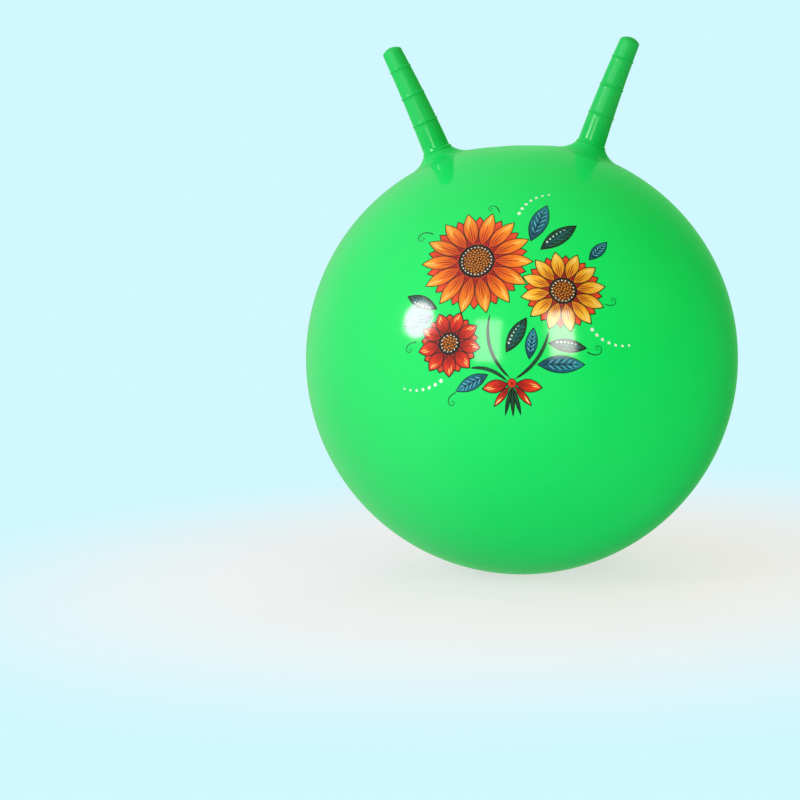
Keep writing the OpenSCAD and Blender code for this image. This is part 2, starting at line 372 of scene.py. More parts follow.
weld_reach = 0.001 * mm

root_top = ball_r + root_h
flare_reach = ball_r + flare_r
edge_reach = math.hypot(horn_r, root_top)
flare_turn = math.acos(
    (edge_reach**2 + flare_reach**2 - flare_r**2) / (2 * edge_reach * flare_reach)
)
foot_angle = math.atan2(horn_r, root_top) + flare_turn
flare_mid = (flare_reach * math.sin(foot_angle), flare_reach * math.cos(foot_angle))
side_len = horn_len - tip_dome_h
side_slope = math.atan2(horn_r - tip_r, side_len)


def arc(middle, radius, start, end, steps):
    """Points along an arc in the plane of an outline, from one angle to another."""
    angles = [start + (end - start) * i / steps for i in range(steps + 1)]
    return [(middle[0] + radius * math.cos(a), middle[1] + radius * math.sin(a)) for a in angles]


def plain_r(z):
    """Radius of the root and horn without their rings, z up from the ball's middle."""
    if z > root_top:
        return horn_r - (z - root_top) * math.tan(side_slope)
    return flare_mid[0] - math.sqrt(flare_r**2 - (flare_mid[1] - z) ** 2)


def horn_outline():
    """Half the outside of a root and its horn, from under the skin's edge to the tip."""
    skirt_r = ball_r - skirt_drop
    skirt = [(skirt_r * math.sin(skirt_angle), skirt_r * math.cos(skirt_angle))]
    rim = math.pi / 2 - root_opening
    foot = math.pi / 2 - foot_angle
    on_skin = arc((0, 0), ball_r, rim, foot, edge_steps)
    rings = [root_top - ring_rise] + [root_top + (i + 1) * ring_pitch for i in range(ring_count)]
    flare_end = math.acos((plain_r(rings[0] - ring_half) - flare_mid[0]) / flare_r)
    flare_start = 3 * math.pi / 2 - foot_angle
    flare = arc(flare_mid, flare_r, flare_start, 2 * math.pi - flare_end, flare_steps)
    points = skirt + on_skin[:-1] + flare[:-1]
    for i, ring in enumerate(rings):
        for step in range(ring_steps + 1):
            share = 2 * step / ring_steps - 1
            z = ring + share * ring_half
            points.append((plain_r(z) + ring_rise * math.cos(share * math.pi / 2) ** 2, z))
        side_end = rings[i + 1] - ring_half if i < ring_count else root_top + side_len - tip_edge_r
        side_start = ring + ring_half
        for step in range(1, side_steps):
            z = side_start + (side_end - side_start) * step / side_steps
            points.append((plain_r(z), z))
    edge_mid = (
        tip_r - tip_edge_r / math.cos(side_slope),
        root_top + side_len - tip_edge_r * math.tan(side_slope),
    )
    dome_r = (tip_r**2 + tip_dome_h**2) / (2 * tip_dome_h)
    dome_mid = (0, root_top + horn_len - dome_r)
    dome_turn = math.atan2(edge_mid[0], edge_mid[1] - dome_mid[1])
    dome_reach = math.hypot(edge_mid[0], edge_mid[1] - dome_mid[1]) + tip_edge_r
    points += arc(edge_mid, tip_edge_r, side_slope, math.pi / 2 - dome_turn, edge_steps)
    points += arc(dome_mid, dome_reach, math.pi / 2 - dome_turn, math.pi / 2, dome_steps)[1:]
    return points


def sunk(outline, depth):
    """An outline moved inwards, square to itself, and kept on its own side of the axis."""
    moved = []
    for i, (r, z) in enumerate(outline):
        before, after = outline[max(i - 1, 0)], outline[min(i + 1, len(outline) - 1)]
        way = Vector((after[0] - before[0], after[1] - before[1])).normalized()
        moved.append((max(r - depth * way.y, 0), z + depth * way.x))
    return moved


def wire(name, points):
    """A mesh of edges through points."""
    edges = [(i, i + 1) for i in range(len(points) - 1)]
    mesh = bpy.data.meshes.new(name)
    mesh.from_pydata(points, edges, [])
    return mesh


def outline_wire(name, outline):
    return wire(name, [(r, 0, z) for r, z in outline])


def bead(name, points, material):
    """A ridge of the mould along points."""
    return grow(name, ridge, wire(name, points), Sides=ridge_sides, Radius=ridge_r, Stuff=material)


def weld(mesh, turn_out=False):
    """Closes seams and poles, and may turn every face of a closed mesh outwards."""
    merged = bmesh.new()
    merged.from_mesh(mesh)
    bmesh.ops.remove_doubles(merged, verts=merged.verts, dist=weld_reach)
    if turn_out:
        bmesh.ops.recalc_face_normals(merged, faces=merged.faces)
    merged.to_mesh(mesh)
    merged.free()


# An outline turned round its axis: column by column, each point of the outline swings round.
turned, sockets = new_tree("turned", Sides="Int", Stuff="Material")
rows = add(turned, "GeometryNodeAttributeDomainSize", {"Geometry": sockets["Geometry"]})
rows = rows.outputs["Point Count"]
columns = calc(turned, "ADD", sockets["Sides"], 1)
sheet = add(turned, "GeometryNodeMeshGrid", {"Vertices X": columns, "Vertices Y": rows})
index = add(turned, "GeometryNodeInputIndex").outputs[0]
column = calc(turned, "FLOOR", calc(turned, "DIVIDE", calc(turned, "ADD", index, 0.5), rows))
row = calc(turned, "SUBTRACT", index, calc(turned, "MULTIPLY", column, rows))
turn = calc(turned, "DIVIDE", calc(turned, "MULTIPLY", column, 2 * math.pi), sockets["Sides"])
outline_spot = add(
    turned,
    "GeometryNodeSampleIndex",
    {"Geometry": sockets["Geometry"], "Index": row},
    data_type="FLOAT_VECTOR",
)
here = add(turned, "GeometryNodeInputPosition").outputs[0]
turned.links.new(here, outline_spot.inputs["Value"])
swung = add(
    turned,
    "ShaderNodeVectorRotate",
    {"Vector": outline_spot.outputs[0], "Angle": turn},
    rotation_type="Z_AXIS",
)
wrapped = moved_to(turned, sheet.outputs["Mesh"], swung.outputs[0])
close_tree(turned, wrapped, sockets["Stuff"])

# A thin round bead along a line.
ridge, sockets = new_tree("ridge", Sides="Int", Radius="Float", Stuff="Material")
path = add(ridge, "GeometryNodeMeshToCurve", {"Mesh": sockets["Geometry"]})
round_section = {"Resolution": sockets["Sides"], "Radius": sockets["Radius"]}
section = add(ridge, "GeometryNodeCurvePrimitiveCircle", round_section)
strand = add(
    ridge,
    "GeometryNodeCurveToMesh",
    {"Curve": path.outputs[0], "Profile Curve": section.outputs[0], "Fill Caps": True},
)
close_tree(ridge, strand.outputs[0], sockets["Stuff"])


def join(name, *objects):
    """One mesh object of several. The first one's material stays."""
    joined = bmesh.new()
    for obj in objects:
        joined.from_mesh(obj.data)
    mesh = objects[0].data
    joined.to_mesh(mesh)
    joined.free()
    for obj in objects[1:]:
        bpy.data.objects.remove(obj)
    objects[0].name = name
    return objects[0]


def lean_out(mesh, side):
    """Leans a horn away from the middle of the ball, from the top of its root on, and bows it
    back a little."""
    points = vertex_array(mesh)
    share = np.clip((points[:, 2] - root_top + lean_softness) / (2 * lean_softness), 0, 1)
    angle = side * horn_lean * share**2 * (3 - 2 * share)
    up = points[:, 2] - root_top
    height_share = np.clip(up / horn_len, 0, 1)
    x = points[:, 0] - side * horn_bow * 4 * height_share * (1 - height_share)
    points[:, 0] = x * np.cos(angle) + up * np.sin(angle)
    points[:, 2] = root_top + up * np.cos(angle) - x * np.sin(angle)
    set_vertices(mesh, points)


grip_pvc = soft_pvc("grip_pvc", pvc_stretched, pvc_thick, pvc_roughness, grip_gloss)
outline = horn_outline()
ridge_sunk = ridge_r - ridge_rise
for side, side_sign in (("left", -1), ("right", 1)):
    grip = grow(side + "_grip", turned, outline_wire("outline", outline), Sides=turned_sides,
                Stuff=grip_pvc)
    weld(grip.data, turn_out=True)
    ridges = []
    for way in (-1, 1):
        line = [(way * r, 0, z) for r, z in sunk(outline[1:], ridge_sunk)]
        ridges.append(bead("ridge", line, grip_pvc))
    horn = join(side + "_grip", grip, *ridges)
    lean_out(horn.data, side_sign)
    root_turn = math.atan2(root_ways[side].x, root_ways[side].z)
    horn.data.transform(Matrix.Translation(ball_middle) @ Matrix.Rotation(root_turn, 4, "Y"))
    settle(horn.data)
    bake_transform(horn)
    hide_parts(side + "_horn_root", side + "_horn")

# The mould's ridge goes on over the ball: between the horns, and down both sides.
root_angle = math.atan2(root_way.x, root_way.z)
floor_angle = math.acos(-ball_middle.z / ball_r)
ridge_arcs = [
    (root_opening - root_angle, root_angle - root_opening),
    (root_angle + root_opening, floor_angle),
    (-root_angle - root_opening, -floor_angle),
]
seam_parts = []
for start, end in ridge_arcs:
    steps = math.ceil(abs(end - start) / ridge_step)
    start, end = math.pi / 2 - start, math.pi / 2 - end
    line = arc((0, ball_middle.z), ball_r - ridge_sunk, start, end, steps)
    seam_parts.append(bead("seam", [(x, 0, z) for x, z in line], green_pvc))
seam = join("mould_seam", *seam_parts)
settle(seam.data)
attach(seam, "ball")

# The valve seat is a ring of stiffer green PVC, welded to the inside of the skin. Its collar
# shows outside, with a recess for the plug's head, and its neck reaches into the ball.
skin_t = 0.9 * mm
weld_gap = 0.05 * mm
bore_r = 4.5 * mm
neck_r = 8.5 * mm
neck_len = 18 * mm
collar_r = 13.5 * mm
collar_rise = 1.6 * mm
collar_round = 0.8 * mm
flange_r = 22 * mm
flange_t = 1.8 * mm
recess_r = 9.3 * mm
mouth_round = 0.25 * mm
round_steps = 5
head_t = 2.2 * mm
valve_sides = 96
valve_deep = (0.012, 0.4, 0.05)
valve_roughness = 0.22

seat_top = ball_r + collar_rise
flange_top = ball_r - skin_t - weld_gap
neck_end = flange_top - flange_t - neck_len
head_seat = seat_top - head_t / 2
quarter_turn = math.pi / 2
valve_place = Matrix.Translation(ball_middle) @ Matrix.Rotation(-quarter_turn, 4, "X")


def on_sphere(radius, r):
    """The point of a sphere round the ball's middle at r from the valve's axis."""
    return (r, math.sqrt(radius**2 - r**2))


def rounded(corner, radius, start):
    """A convex corner's arc of a quarter turn, from one angle on."""
    middle = (
        corner[0] - radius * math.copysign(1, math.cos(start + quarter_turn / 2)),
        corner[1] - radius * math.copysign(1, math.sin(start + quarter_turn / 2)),
    )
    return arc(middle, radius, start, start + quarter_turn, round_steps)


seat_outline = (
    [(bore_r, neck_end)]
    + rounded((bore_r, head_seat), mouth_round, math.pi)[::-1]
    + [(recess_r, head_seat)]
    + rounded((recess_r, seat_top), mouth_round, quarter_turn)[::-1]
    + rounded((collar_r, seat_top), collar_round, 0)[::-1]
    + [on_sphere(flange_top, collar_r), on_sphere(flange_top, flange_r)]
    + [on_sphere(flange_top - flange_t, flange_r), on_sphere(flange_top - flange_t, neck_r)]
    + [(neck_r, neck_end), (bore_r, neck_end)]
)
valve_pvc = soft_pvc("valve_pvc", pvc_thick, valve_deep, valve_roughness)
seat = grow("seat", turned, outline_wire("seat", seat_outline), Sides=valve_sides, Stuff=valve_pvc)
seat.data.transform(valve_place)
weld(seat.data, turn_out=True)
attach(seat, "ball")
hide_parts("valve_seat")

# The air plug is one moulding of stiff white plastic. Its head has a hollow for a fingertip,
# and barbs on its stem seal against the bore.
plug_head_r = 9 * mm
head_round = 0.7 * mm
dimple_r = 5.5 * mm
dimple_depth = 0.8 * mm
stem_r = 3.6 * mm
stem_len = 22 * mm
barb_count = 4
barb_pitch = 4 * mm
barb_r = 4.44 * mm
plastic_white = (0.78, 0.79, 0.76)
plastic_shade = 0.8
plastic_cloud_scale = 90
plastic_roughness = 0.28
plastic_wear = 0.2
plastic_wear_scale = 320
plastic_grain_scale = 900
plastic_grain_h = 0.05 * mm

head_top = head_seat + head_t
dimple_mid_r = (dimple_r**2 + dimple_depth**2) / (2 * dimple_depth)
dimple_turn = math.asin(dimple_r / dimple_mid_r)
stem_end = head_seat - stem_len
plug_outline = [(0, stem_end), (stem_r / 2, stem_end), (stem_r, stem_end + stem_r)]
for i in range(barb_count, 0, -1):
    barb = head_seat - i * barb_pitch
    plug_outline += [(stem_r, barb), (barb_r, barb + barb_pitch / 2), (stem_r, barb + barb_pitch / 2)]
plug_outline += [(stem_r, head_seat), (plug_head_r - mouth_round, head_seat)]
plug_outline += rounded((plug_head_r, head_seat), mouth_round, -quarter_turn)
plug_outline += rounded((plug_head_r, head_top), head_round, 0)
plug_outline += arc(
    (0, head_top - dimple_depth + dimple_mid_r),
    dimple_mid_r,
    -quarter_turn + dimple_turn,
    -quarter_turn,
    dome_steps,
)


def stiff_plastic(name, colour, roughness):
    """Plain moulded plastic, with faint clouds and a little matt wear where it is handled."""
    material, tree, surface = new_material(name)
    place = add(tree, "ShaderNodeTexCoord").outputs["Object"]
    clouds = ramp(tree, noise(tree, place, plastic_cloud_scale, 3), 0.3, 0.8, 0, 0.25)
    shaded = mixed(tree, clouds, colour, tuple(plastic_shade * part for part in colour))
    tree.links.new(shaded, surface.inputs["Base Color"])
    scuffs = noise(tree, place, plastic_wear_scale, 4, 0.7)
    wear = ramp(tree, scuffs, 0.4, 0.75, roughness, roughness + plastic_wear)
    tree.links.new(wear, surface.inputs["Roughness"])
    roughen(tree, surface, noise(tree, place, plastic_grain_scale), 0.2, plastic_grain_h)
    return material


white_plastic = stiff_plastic("plug_plastic", plastic_white, plastic_roughness)
plug = grow("plug", turned, outline_wire("plug", plug_outline), Sides=valve_sides,
            Stuff=white_plastic)
plug.data.transform(valve_place)
weld(plug.data, turn_out=True)
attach(plug, "plug")
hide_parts("air_plug")

# The print on the front is a bunch of three flowers tied with a bow, in opaque inks laid over
# each other: dark outlines first, then the fills, then veins, seeds and dots. Each shape is a
# closed film on the skin. Places and lengths are shares of the print's height, turns degrees.
print_h = 0.31
print_turn = math.radians(90 - 22)
outline_w = 1.1 * mm
tip_growth = 1.9
layer_step = 0.0002 * mm
back_outline_height = 0.03 * mm
back_height = 0.07 * mm
outline_height = 0.12 * mm
fill_height = 0.18 * mm
vein_height = 0.24 * mm
light_height = 0.28 * mm
dot_height = 0.32 * mm
print_foot = -0.05 * mm
petal_gap_share = 0.006
petal_w_share = 0.84
back_share = 0.86
half_step = 0.5
ruff_share = 0.3
rim_growth = 2.2

# Across, up, radius, radius of the heart, turn of the first petal, number of petals.
big_flower = (-0.13, 0.17, 0.25, 0.075, -3, 14)
middle_flower = (0.255, 0.02, 0.185, 0.055, 10, 12)
small_flower = (-0.257, -0.204, 0.14, 0.042, -12, 9)
flowers = (big_flower, middle_flower, small_flower)

# Across, up and radius of the knot. Then across, up and bend of each stem's tip, and turn,
# length and width of what spreads from the knot.
knot = (0.02, -0.39, 0.018)
knot_gap = 0.003
stem_tips = ((-0.07, -0.085, 0.045), (0.19, -0.165, -0.03), (-0.165, -0.318, -0.02))
stem_w = 0.016
stem_ends = ((-75, 0.11, 0.013), (-90, 0.11, 0.013), (-105, 0.11, 0.013))
bow = ((-8, 0.11, 0.05), (188, 0.11, 0.05), (-48, 0.1, 0.026), (-132, 0.1, 0.026))

# Across, up, length, width and turn.
dark_leaves = (
    (0, -0.255, 0.17, 0.06, 58),
    (0.19, -0.22, 0.16, 0.055, -5),
    (-0.315, -0.04, 0.15, 0.055, 150),
    (0.16, 0.22, 0.2, 0.07, 40),
)
teal_leaves = (
    (0.1, -0.285, 0.13, 0.048, 80),
    (0.14, -0.312, 0.2, 0.07, 2),
    (-0.09, -0.352, 0.15, 0.056, 202),
    (-0.335, -0.075, 0.13, 0.05, 190),
    (0.115, 0.265, 0.2, 0.075, 70),
    (0.375, 0.18, 0.12, 0.046, 52),
)

# Across, up, turn and bend of a row of dots.
sprays = ((0.38, -0.15, -60, 12), (-0.3, -0.36, 215, -9), (0.06, 0.41, 75, -10))
spray_dots = 7
spray_step = 0.03
dot_r = 0.0085
vein_lean = math.radians(38)
vein_pairs = 5
vein_start = 0.14
vein_span = 0.68
mark_bulge = 0.1
leaf_dot_count = 6
leaf_dot_start = 0.22
leaf_dot_span = 0.6
leaf_dot_off = 0.24
seed_r = 1.15 * mm
seed_spacing = 1.9
seed_turn = math.radians(137.5)
seed_zone = 0.8

brush_shift = 37.0
brush_stretch = 1.3
brush_spread = 1.6
brush_scale = 3.5
brush_zone = (0.48, 0.62)
streak_share = 0.6
rim_zone = (0.55, 1.0)
rim_share = 0.35
darkest_tone = 0.84
ink_wear = 0.07
ink_wear_scale = 300


def arch(share):
    """0 at both ends of a length, and 1 in its middle."""
    return 4 * share * (1 - share)


def flat_mesh(name, points, faces, shares):
    """A flat sheet that knows, at each point, how far it is along and across its shape."""
    mesh = bpy.data.meshes.new(name)
    mesh.from_pydata([(x, y, 0) for x, y in points], [], faces)
    for i, title in enumerate(("along", "across")):
        attribute = mesh.attributes.new(title, "FLOAT", "POINT")
        attribute.data.foreach_set("value", [share[i] for share in shares])
    return mesh


def thicken(mesh):
    """Closes a flat sheet with walls and a floor, one unit under it."""
    film = bmesh.new()
    film.from_mesh(mesh)
    tops = film.faces[:]
    rim = [edge.link_loops[0] for edge in film.edges if edge.is_boundary]
    feet = {spot: film.verts.new(spot.co - Vector((0, 0, 1)), spot) for spot in film.verts[:]}
    for face in tops:
        film.faces.new([feet[spot] for spot in face.verts], face)
    for side in rim:
        first, second = side.vert, side.link_loop_next.vert
        film.faces.new((first, second, feet[second], feet[first]))
    bmesh.ops.recalc_face_normals(film, faces=film.faces[:])
    film.to_mesh(mesh)
    film.free()
    return mesh


def long_sheet(name, middle, half, steps=14, lanes=4):
    """A sheet that follows a line. The line's point and the half width there are functions of
    the share of the line's length."""
    points, shares, faces = [], [], []
    for i in range(steps + 1):
        along = i / steps
        before, after = max(i - 1, 0) / steps, min(i + 1, steps) / steps
        side = (Vector(middle(after)) - Vector(middle(before))).normalized().orthogonal()
        for j in range(lanes + 1):
            across = 2 * j / lanes - 1
            points.append(Vector(middle(along)) + across * half(along) * side)
            shares.append((along, across))
    row_len = lanes + 1
    for i in range(steps):
        for j in range(lanes):
            a = i * row_len + j
            faces.append((a, a + row_len, a + row_len + 1, a + 1))
    mesh = flat_mesh(name, points, faces, shares)
    weld(mesh)
    return thicken(mesh)


def disc_sheet(name, rings, spokes):
    """A disc of radius 1. Its share along is the one from its middle to its edge."""
    points, shares, faces = [(0, 0)], [(0, 0)], []
    for ring in range(1, rings + 1):
        for spoke in range(spokes):
            turn = 2 * math.pi * spoke / spokes
            reach = ring / rings
            points.append((reach * math.cos(turn), reach * math.sin(turn)))
            shares.append((reach, abs(2 * spoke / spokes - 1)))
    for spoke in range(spokes):
        after = (spoke + 1) % spokes
        faces.append((0, 1 + spoke, 1 + after))
        for ring in range(1, rings):
            inner, outer = 1 + (ring - 1) * spokes, 1 + ring * spokes
            faces.append((inner + spoke, outer + spoke, outer + after, inner + after))
    return thicken(flat_mesh(name, points, faces, shares))


# A sheet at each point of the print, domed onto the ball and tilted to the print's place. The
# sheet's face is lifted by the height of its layer, and its floor lies at the print's foot.
print_layer, sockets = new_tree(
    "print_layer", Shape="Object", Height="Float", Step="Float", Seed="Int", Ink="Material"
)
shape = add(print_layer, "GeometryNodeObjectInfo", {"Object": sockets["Shape"]})
sizes = {
    title: add(print_layer, "GeometryNodeInputNamedAttribute", {"Name": title}).outputs[0]
    for title in ("turn", "length", "width")
}
facing = add(print_layer, "ShaderNodeCombineXYZ", {"Z": sizes["turn"]})
facing = add(print_layer, "FunctionNodeEulerToRotation", {"Euler": facing.outputs[0]})
stretch = {"X": sizes["length"], "Y": sizes["width"], "Z": 1}
scale = add(print_layer, "ShaderNodeCombineXYZ", stretch)
spread = add(
    print_layer,
    "GeometryNodeInstanceOnPoints",
    {
        "Points": sockets["Geometry"],
        "Instance": shape.outputs["Geometry"],
        "Rotation": facing.outputs[0],
        "Scale": scale.outputs[0],
    },
)
order = add(print_layer, "GeometryNodeInputIndex").outputs[0]
chance = add(print_layer, "FunctionNodeRandomValue", {"ID": order, "Seed": sockets["Seed"]})
numbered = spread.outputs[0]
for title, value in (("chance", chance.outputs["Value"]), ("order", order)):
    wires = {"Geometry": numbered, "Name": title}
    stored = add(print_layer, "GeometryNodeStoreNamedAttribute", wires, domain="INSTANCE")
    print_layer.links.new(value, stored.inputs["Value"])
    numbered = stored.outputs[0]
real = add(print_layer, "GeometryNodeRealizeInstances", {"Geometry": numbered}).outputs[0]
flat_spot = add(print_layer, "GeometryNodeInputPosition").outputs[0]
flat_spot = add(print_layer, "ShaderNodeSeparateXYZ", {"Vector": flat_spot}).outputs
layer_order = add(print_layer, "GeometryNodeInputNamedAttribute", {"Name": "order"}).outputs[0]
lift = calc(print_layer, "MULTIPLY_ADD", layer_order, sockets["Step"], sockets["Height"])
top_share = calc(print_layer, "ADD", flat_spot["Z"], 1)
foot = calc(print_layer, "MULTIPLY", flat_spot["Z"], -print_foot)
lifted = calc(print_layer, "MULTIPLY_ADD", lift, top_share, foot)
reach = calc(print_layer, "ADD", lifted, ball_r)
rest = calc(print_layer, "MULTIPLY", reach, reach)
for part in ("X", "Y"):
    squared = calc(print_layer, "MULTIPLY", flat_spot[part], flat_spot[part])
    rest = calc(print_layer, "SUBTRACT", rest, squared)
dome = {"X": flat_spot["X"], "Y": flat_spot["Y"], "Z": calc(print_layer, "SQRT", rest)}
domed = add(print_layer, "ShaderNodeCombineXYZ", dome)
tilted = add(
    print_layer,
    "ShaderNodeVectorRotate",
    {"Vector": domed.outputs[0], "Angle": print_turn},
    rotation_type="X_AXIS",
)
print_spot = vector_calc(print_layer, "ADD", tilted.outputs[0], tuple(ball_middle))
close_tree(print_layer, moved_to(print_layer, real, print_spot), sockets["Ink"])


def lay(name, sheet, places, height, ink, seed=1):
    """Prints a flat sheet at each place on the ball. A place is across, up, turn in radians,
    length and width, in metres from the print's middle."""
    dots = bpy.data.meshes.new(name)
    dots.from_pydata([(place[0], place[1], 0) for place in places], [], [])
    for i, title in enumerate(("turn", "length", "width")):
        attribute = dots.attributes.new(title, "FLOAT", "POINT")
        attribute.data.foreach_set("value", [place[i + 2] for place in places])
    stencil = link(bpy.data.objects.new("stencil", sheet))
    printed = grow(name, print_layer, dots, Shape=stencil, Height=height, Step=layer_step,
                   Seed=seed, Ink=ink)
    bpy.data.objects.remove(stencil)
    return printed


def press_on(printed, slot, *nodes):
    """Finishes a printed piece: it shades as the ball does, and rides on it."""
    out = vertex_array(printed.data) - np.array(ball_middle)
    out /= np.linalg.norm(out, axis=1)[:, None]
    printed.data.normals_split_custom_set_from_vertices(out.tolist())
    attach(printed, "ball")
    if nodes:
        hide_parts(*nodes)


def blade_place(x, y, turn, length, width):
    """A blade's place from shares of the print's height and a turn in degrees."""
    return (x * print_h, y * print_h, math.radians(turn), length * print_h, width * print_h)


def blade_spot(place, reach, off=0.0):
    """The point at a reach along a blade, and off to its left."""
    x, y, turn = place[:3]
    return (
        x + reach * math.cos(turn) - off * math.sin(turn),
        y + reach * math.sin(turn) + off * math.cos(turn),
    )


def grown(places, edge):
    """Blades with an edge added all round."""
    back = tip_growth * edge
    return [
        (*blade_spot(place, -back), place[2], place[3] + 2 * back, place[4] + 2 * edge)
        for place in places
    ]


def petal_places(flower, share=1.0, shift=0.0):
    """The petals of a flower, whole or as a share of their length, and shifted between others
    by a share of a step."""
    x, y, r, heart_r, first, count = flower
    start = heart_r + petal_gap_share
    width = petal_w_share * (start + r) * math.tan(math.pi / count)
    places = []
    for i in range(count):
        turn = first + (i + shift) * 360 / count
        way = math.radians(turn)
        places.append(
            blade_place(x + start * math.cos(way), y + start * math.sin(way), turn,
                        (r - start) * share, width)
        )
    return places


def knot_places(shares):
    """Blades that spread from the knot of the bow."""
    edge = knot[2] + knot_gap
    return [
        blade_place(knot[0] + edge * math.cos(math.radians(turn)),
                    knot[1] + edge * math.sin(math.radians(turn)), turn, length, width)
        for turn, length, width in shares
    ]


def leaf_places(leaves):
    return [blade_place(x, y, turn, length, width) for x, y, length, width, turn in leaves]


def disc_place(x, y, r):
    return (x, y, 0, r, r)


def disc_places(discs, edge=0.0):
    return [disc_place(x * print_h, y * print_h, r * print_h + edge) for x, y, r in discs]


def strokes(places, start, end, width, across=0.0, lean=0.0):
    """A stroke on each blade, between two shares of its length. Its place across is a share of
    the blade's half width, and it may lean outwards from there."""
    marks = []
    for place in places:
        x, y, turn, length, blade_w = place
        spot = blade_spot(place, start * length, across * blade_w / 2 * arch(start + mark_bulge))
        marks.append((*spot, turn + lean, (end - start) * length, width))
    return marks


def side_veins(places, width, shift=0.0, reach_share=0.82):
    """Pairs of veins from a leaf's midrib towards its edges."""
    marks = []
    for place in places:
        x, y, turn, length, blade_w = place
        for i in range(vein_pairs):
            share = vein_start + (i + shift) * vein_span / vein_pairs
            vein_len = reach_share * blade_w / 2 * arch(share + mark_bulge) / math.sin(vein_lean)
            for side in (-1, 1):
                spot = blade_spot(place, share * length)
                marks.append((*spot, turn + side * vein_lean, vein_len, width))
    return marks


def leaf_dots(places, r):
    """A row of dots beside the midrib of each leaf, from large to small."""
    marks = []
    for place in places:
        for i in range(leaf_dot_count):
            share = leaf_dot_start + leaf_dot_span * i / leaf_dot_count
            spot = blade_spot(place, share * place[3], leaf_dot_off * place[4] * arch(share))
            marks.append(disc_place(*spot, r * (1 - i / (2 * leaf_dot_count))))
    return marks


def heart_dots(flower, spots, r):
    """Dots on a flower's heart, each at a share of its radius and a turn."""
    x, y, heart_r = flower[0] * print_h, flower[1] * print_h, flower[3] * print_h
    return [disc_place(*blade_spot((x, y, way), share * heart_r), r) for share, way in spots]


def seed_places(flower):
    """Seeds in the spiral of a flower's heart, inside a share of its radius."""
    count = round((flower[3] * print_h / (seed_spacing * seed_r)) ** 2)
    spots = [(math.sqrt((i + 0.5) / count), i * seed_turn) for i in range(count)]
    return heart_dots(flower, [spot for spot in spots if spot[0] < seed_zone], seed_r)


def ring_places(flower, share, count, r):
    """A ring of dots round a flower's heart."""
    return heart_dots(flower, [(share, 2 * math.pi * i / count) for i in range(count)], r)


def paint(red, green, blue):
    """A colour of 0 to 255 parts as light, for a shader."""
    return tuple(
        part / 255 / 12.92 if part < 10.4 else ((part / 255 + 0.055) / 1.055) ** 2.4
        for part in (red, green, blue)
    )


def ink(name, foot, body, tip, streak):
    """Opaque ink in a painted manner: each shape shades from its foot to its tip, with streaks
    of a brush along it, and has a tone of its own."""
    foot, body, tip, streak = (paint(*colour) for colour in (foot, body, tip, streak))
    material, tree, surface = new_material(name, wet_gloss)
    along, across, chance = (
        add(tree, "ShaderNodeAttribute", attribute_name=title).outputs["Fac"]
        for title in ("along", "across", "chance")
    )
    colour = mixed(tree, ramp(tree, along, 0.0, 0.5), foot, body)
    colour = mixed(tree, ramp(tree, along, 0.45, 1.0), colour, tip)
    grain_x = calc(tree, "MULTIPLY", along, brush_stretch)
    grain_x = calc(tree, "MULTIPLY_ADD", chance, brush_shift, grain_x)
    grain_y = calc(tree, "MULTIPLY", across, brush_spread)
    grain = add(tree, "ShaderNodeCombineXYZ", {"X": grain_x, "Y": grain_y}).outputs[0]
    brushed = ramp(tree, noise(tree, grain, brush_scale, 5, 0.7), *brush_zone, 0, streak_share)
    colour = mixed(tree, brushed, colour, streak)
    edge = ramp(tree, calc(tree, "ABSOLUTE", across), *rim_zone, 0.0, rim_share)
    colour = mixed(tree, edge, colour, foot)
    tone = ramp(tree, chance, 0, 1, darkest_tone, 1.0)
    tone_colour = add(tree, "ShaderNodeCombineColor", {"Red": tone, "Green": tone, "Blue": tone})
    colour = mixed(tree, 1.0, colour, tone_colour.outputs[0], "MULTIPLY")
    tree.links.new(colour, surface.inputs["Base Color"])
    place = add(tree, "ShaderNodeTexCoord").outputs["Object"]
    scuffs = noise(tree, place, ink_wear_scale, 3)
    wear = ramp(tree, scuffs, 0.4, 0.7, pvc_roughness, pvc_roughness + ink_wear)
    tree.links.new(wear, surface.inputs["Roughness"])
    return material


blade = long_sheet("blade", lambda share: (share, 0), lambda share: arch(share) / 2)
stroke = long_sheet(
    "stroke", lambda share: (share, 0), lambda share: arch(share) / 2, steps=8, lanes=2
)
heart_disc = disc_sheet("heart", rings=5, spokes=40)
dot_disc = disc_sheet("dot", rings=1, spokes=14)
seed_disc = disc_sheet("seed", rings=1, spokes=8)

outline_ink = ink("outline_paint", (18, 30, 24), (22, 36, 28), (16, 28, 22), (34, 52, 40))
orange_ink = ink("orange_paint", (200, 56, 20), (236, 118, 24), (246, 180, 48), (216, 84, 22))
yellow_ink = ink("yellow_paint", (206, 112, 20), (238, 172, 38), (248, 212, 92), (222, 136, 30))
red_ink = ink("red_paint", (150, 24, 24), (214, 48, 28), (236, 84, 40), (178, 30, 26))
brown_ink = ink("brown_paint", (70, 36, 22), (96, 52, 28), (58, 30, 20), (126, 74, 34))
dark_green_ink = ink("dark_green_paint", (18, 46, 34), (28, 70, 48), (20, 52, 38), (46, 98, 60))
teal_ink = ink("teal_paint", (12, 62, 84), (20, 104, 126), (30, 138, 152), (66, 164, 186))
pale_ink = ink("pale_paint", (206, 232, 214), (220, 242, 226), (212, 236, 220), (236, 250, 238))
deep_red_ink = ink("deep_red_paint", (120, 22, 18), (156, 34, 20), (186, 56, 24), (120, 24, 18))
straw_ink = ink("straw_paint", (244, 196, 84), (250, 220, 128), (252, 234, 170), (246, 206, 100))
sky_ink = ink("sky_paint", (64, 150, 190), (96, 186, 214), (142, 214, 226), (70, 160, 200))

